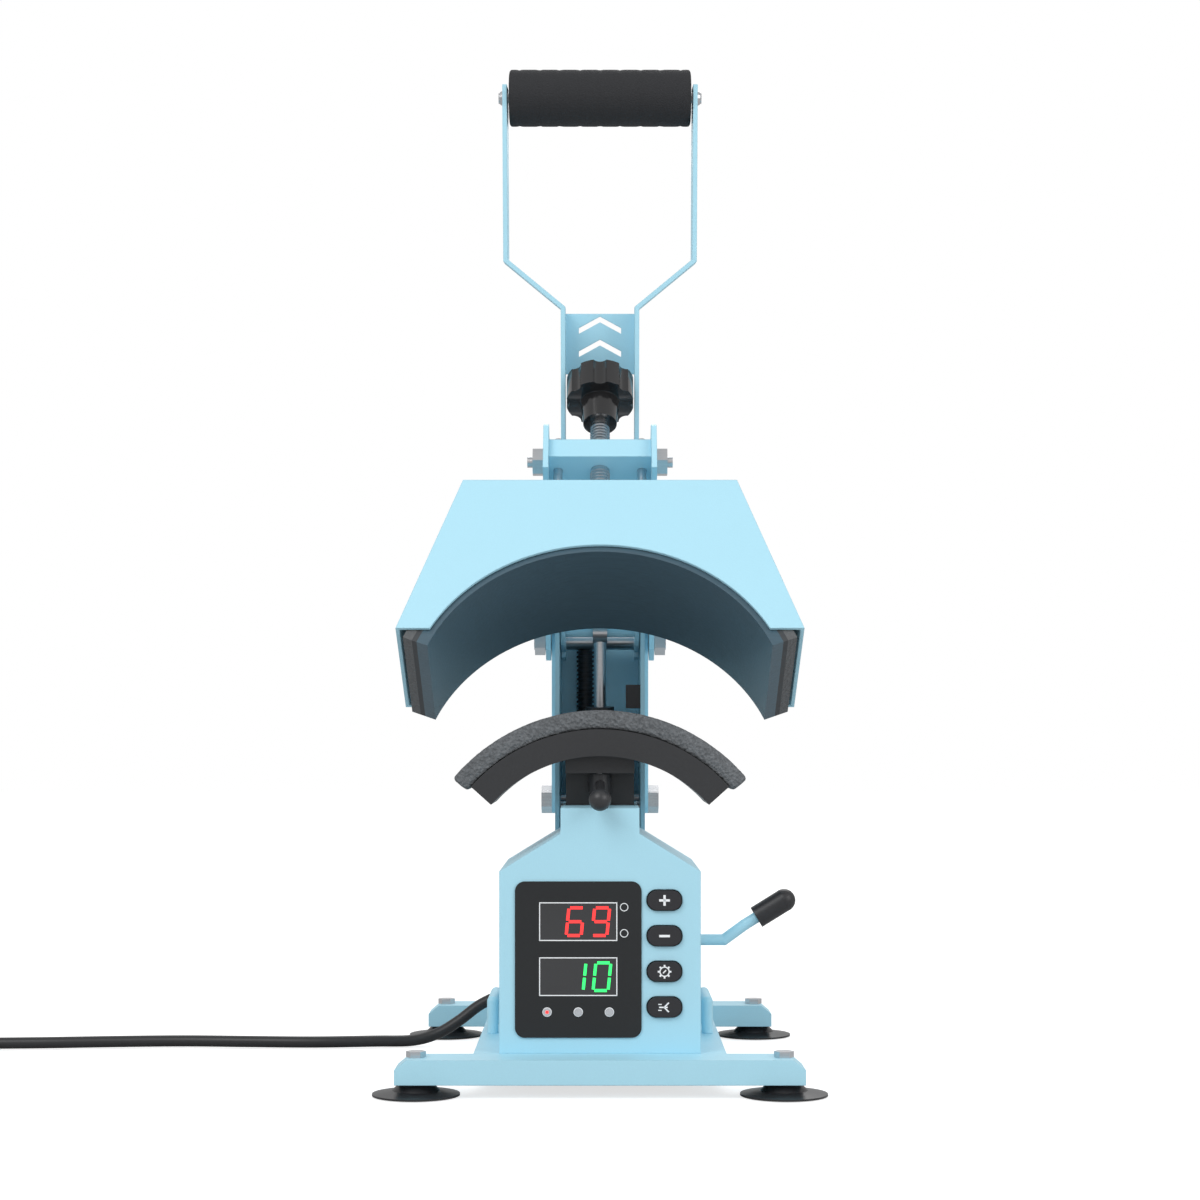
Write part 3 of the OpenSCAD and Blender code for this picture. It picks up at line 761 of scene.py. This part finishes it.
@dataclass
class Marks:
    """The lit digits, the printed lines and the icons of the control panel, in millimetres.

    Attributes:
        lift: how far a mark stands proud.
        digit_height: a digit's height, between its outer strokes' middles.
        digit_width: a digit's width, measured the same way.
        stroke: a stroke's thickness.
        slant: how far the digits lean, as a share of their height.
        window_height: the height of a display window.
        outline: the width and height of a window's printed outline.
        lamp_step: the distance between two status lamps.
        lamp_ring: the radius of the ring round a status lamp.
        lit_lamp: the size of the lit spot in the left lamp.
        unit_x: the place across of the two unit rings.
        unit_rows: their heights.
        unit_ring: their radius.
        ring_line: the thickness of every printed ring.
        temperature: the upper window's digits, with their places across.
        countdown: the lower window's digits, with their places across.
    """

    lift: float = 0.12
    digit_height: float = 14.0
    digit_width: float = 7.6
    stroke: float = 1.5
    slant: float = 0.1
    window_height: float = 19.7
    outline: tuple[float, float] = (39.0, 19.0)
    lamp_step: float = 15.75
    lamp_ring: float = 2.15
    lit_lamp: float = 1.4
    unit_x: float = 12.2
    unit_rows: tuple[float, float] = (93.0, 79.8)
    unit_ring: float = 1.9
    ring_line: float = 0.4
    temperature: tuple[tuple[str, float], ...] = (("6", -12.6), ("9", 0.4))
    countdown: tuple[tuple[str, float], ...] = (("1", -11.6), ("0", 1.0))

    segments: ClassVar[dict[str, str]] = {"6": "afgedc", "9": "abcdfg", "1": "bc", "0": "abcdef"}
    upright_share: ClassVar[float] = 0.7
    level_share: ClassVar[float] = 0.9

    @staticmethod
    def _box(node: str) -> tuple[Vector, Vector]:
        """Reads a node's lowest and highest corners, in millimetres."""
        low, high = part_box(node)
        return low / MM, high / MM

    def _draw(self, shape: bmesh.types.BMesh, bars: list[Bar], x: float, y: float, z: float) -> None:
        """Adds a mark's bars to a shape.

        Args:
            shape: the shape.
            bars: the bars.
            x: the mark's middle across.
            y: the surface that the mark stands on.
            z: the mark's middle up.
        """
        for bar in bars:
            made = bmesh.ops.create_cube(shape, size=1.0)["verts"]
            size = Vector((bar.width, self.lift, bar.height))
            bmesh.ops.scale(shape, verts=made, vec=size * MM)
            bmesh.ops.rotate(shape, verts=made, matrix=Matrix.Rotation(bar.lean, 3, "Y"))
            place = Vector((x + bar.x, y - self.lift / 2, z + bar.z))
            bmesh.ops.translate(shape, verts=made, vec=place * MM)

    def _digit_bars(self, figure: str) -> list[Bar]:
        """Lays out one seven-segment digit.

        Args:
            figure: the digit.

        Returns:
            The bars of its lit segments.
        """
        half_w = self.digit_width / 2
        half_h = self.digit_height / 2
        quarter = half_h / 2
        tall = half_h - self.stroke * self.upright_share
        wide = self.digit_width - self.stroke * self.level_share
        levels = {"a": half_h, "g": 0.0, "d": -half_h}
        uprights = {"b": (half_w, quarter), "c": (half_w, -quarter),
                    "f": (-half_w, quarter), "e": (-half_w, -quarter)}
        bars: list[Bar] = []
        for key in self.segments[figure]:
            if key in levels:
                z = levels[key]
                bars.append(Bar(z * self.slant, z, wide, self.stroke))
            else:
                x, z = uprights[key]
                bars.append(Bar(x + z * self.slant, z, self.stroke, tall, self.slant))
        return bars

    def _digits(self, digits: tuple[tuple[str, float], ...], y: float, z: float) -> bmesh.types.BMesh:
        """Draws the digits of one window.

        Args:
            digits: each digit with its place across.
            y: the surface that they stand on.
            z: their middle up.

        Returns:
            The digits' shape.
        """
        shape = bmesh.new()
        for figure, x in digits:
            self._draw(shape, self._digit_bars(figure), x, y, z)
        return shape

    def build(self) -> None:
        """Makes the digits, lines and icons."""
        red = Glow("digit_red", (1.0, 0.03, 0.03), 1.3).build()
        green = Glow("digit_green", (0.03, 0.9, 0.15), 1.1).build()
        # The white print glows faintly: this emission is painted light, since ink gives none.
        white = Glow("print_white_painted_glow", (0.8, 0.82, 0.84), 0.15).build()
        panel, panel_end = self._box("display_panel")
        windows, windows_end = self._box("display_windows")
        lamps, lamps_end = self._box("status_lamps")
        middle = (panel.x + panel_end.x) / 2
        rows = (windows_end.z - self.window_height / 2, windows.z + self.window_height / 2)
        lamp_row = (lamps.z + lamps_end.z) / 2
        lit = Bar(0.0, 0.0, self.lit_lamp, self.lit_lamp)

        top = self._digits(self.temperature, panel.y, rows[0])
        self._draw(top, [lit], middle - self.lamp_step, lamps.y, lamp_row)
        finish_mesh("red_digits", top, "frame", red)
        low = self._digits(self.countdown, panel.y, rows[1])
        finish_mesh("green_digits", low, "frame", green)

        lines = bmesh.new()
        for row in rows:
            self._draw(lines, outline_bars(*self.outline), middle, panel.y, row)
        for place in (-1, 0, 1):
            self._draw(lines, ring_bars(self.lamp_ring, self.ring_line),
                       middle + self.lamp_step * place, panel.y, lamp_row)
        for row in self.unit_rows:
            self._draw(lines, ring_bars(self.unit_ring, self.ring_line), self.unit_x, panel.y, row)
        finish_mesh("printed_lines", lines, "frame", white)
        self._icons(white)

    def _icons(self, material: bpy.types.Material) -> None:
        """Makes the icons on the four keys.

        Args:
            material: their material, white print with a painted glow.
        """
        icons: dict[str, Callable[[], list[Bar]]] = {
            "plus": plus_bars, "minus": minus_bars, "settings": gear_bars, "start": start_bars}
        for name, layout in icons.items():
            key, key_end = self._box(f"{name}_button")
            icon = bmesh.new()
            self._draw(icon, layout(), (key.x + key_end.x) / 2, key.y, (key.z + key_end.z) / 2)
            finish_mesh(f"{name}_key_icon", icon, f"{name}_key", material)


@dataclass
class Hardware:
    """The thread of the pressure screw and the grip's end screws, in millimetres.

    The thread is drawn with the head shut, and then raised with it.

    Attributes:
        pivot: the middle of the main pivot.
        open_angle: how far the head opens, in degrees.
        screw_y: the screw's place from front to back.
        thread_spans: the heights between which the thread shows.
        thread_pitch: the step between two turns.
        crest_radius: the thread's radius at one side of a turn.
        root_radius: its radius at the other side.
        crest_share: a turn's height as a share of the pitch.
        thread_sides: the sides of the thread.
        head_radius: the radius of an end screw's head.
        head_face: the radius of its face.
        head_depth: its depth.
        head_sides: the sides of an end screw.
    """

    pivot: Triple = (0.0, 60.0, 234.0)
    open_angle: float = 32.0
    screw_y: float = -40.0
    thread_spans: tuple[tuple[float, float], ...] = ((252.0, 278.0), (292.0, 311.0))
    thread_pitch: float = 2.0
    crest_radius: float = 5.5
    root_radius: float = 5.0
    crest_share: float = 0.7
    thread_sides: int = 32
    head_radius: float = 4.2
    head_face: float = 3.4
    head_depth: float = 1.6
    head_sides: int = 28

    def _thread(self) -> bmesh.types.BMesh:
        """Draws the thread as a row of short cones and raises it with the head."""
        shape = bmesh.new()
        for low, high in self.thread_spans:
            for index in range(int((high - low) / self.thread_pitch)):
                turn = bmesh.ops.create_cone(
                    shape, cap_ends=True, segments=self.thread_sides,
                    radius1=self.crest_radius * MM, radius2=self.root_radius * MM,
                    depth=self.thread_pitch * self.crest_share * MM)
                height = low + (index + 0.5) * self.thread_pitch
                bmesh.ops.translate(shape, verts=turn["verts"],
                                    vec=Vector((0.0, self.screw_y, height)) * MM)
        raised = Matrix.Rotation(math.radians(-self.open_angle), 3, "X")
        bmesh.ops.rotate(shape, verts=shape.verts, cent=Vector(self.pivot) * MM, matrix=raised)
        return shape

    def _end_screws(self) -> bmesh.types.BMesh:
        """Draws the two screws at the ends of the grip's tube."""
        low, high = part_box("grip_tube")
        middle = (low + high) / 2
        shape = bmesh.new()
        for side in (-1, 1):
            head = bmesh.ops.create_cone(
                shape, cap_ends=True, segments=self.head_sides, radius1=self.head_radius * MM,
                radius2=self.head_face * MM, depth=self.head_depth * MM)
            bmesh.ops.rotate(shape, verts=head["verts"],
                             matrix=Matrix.Rotation(side * math.pi / 2, 3, "Y"))
            across = side * (high.x - self.head_depth * MM)
            bmesh.ops.translate(shape, verts=head["verts"],
                                vec=Vector((across, middle.y, middle.z)))
        return shape

    def build(self, steel: bpy.types.Material) -> None:
        """Makes the thread and the end screws.

        Args:
            steel: their material.
        """
        finish_mesh("screw_thread", self._thread(), "knob", steel)
        finish_mesh("grip_end_screws", self._end_screws(), "handle", steel)


def dress_nodes(frame: dict, made: dict[str, bpy.types.Material]) -> None:
    """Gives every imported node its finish.

    Args:
        made: the materials by slot.
    """
    for part in frame["record"]["subparts"]:
        node = frame["nodes"][part["node"]]
        node.data.materials.clear()
        node.data.materials.append(made[part["material_slot"]])


def main() -> None:
    """Builds the dressed press in order."""
    logging.basicConfig(level=logging.INFO)
    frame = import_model()
    Studio().build()
    made = {finish.name: finish.build() for finish in FINISHES}
    dress_nodes(frame, made)
    MainsLead().build(made["cord_jacket"])
    FoamParts().build(made["pad_foam"], made["grip_foam"])
    Marks().build()
    Hardware().build(made["steel"])


if __name__ == "__main__":
    main()
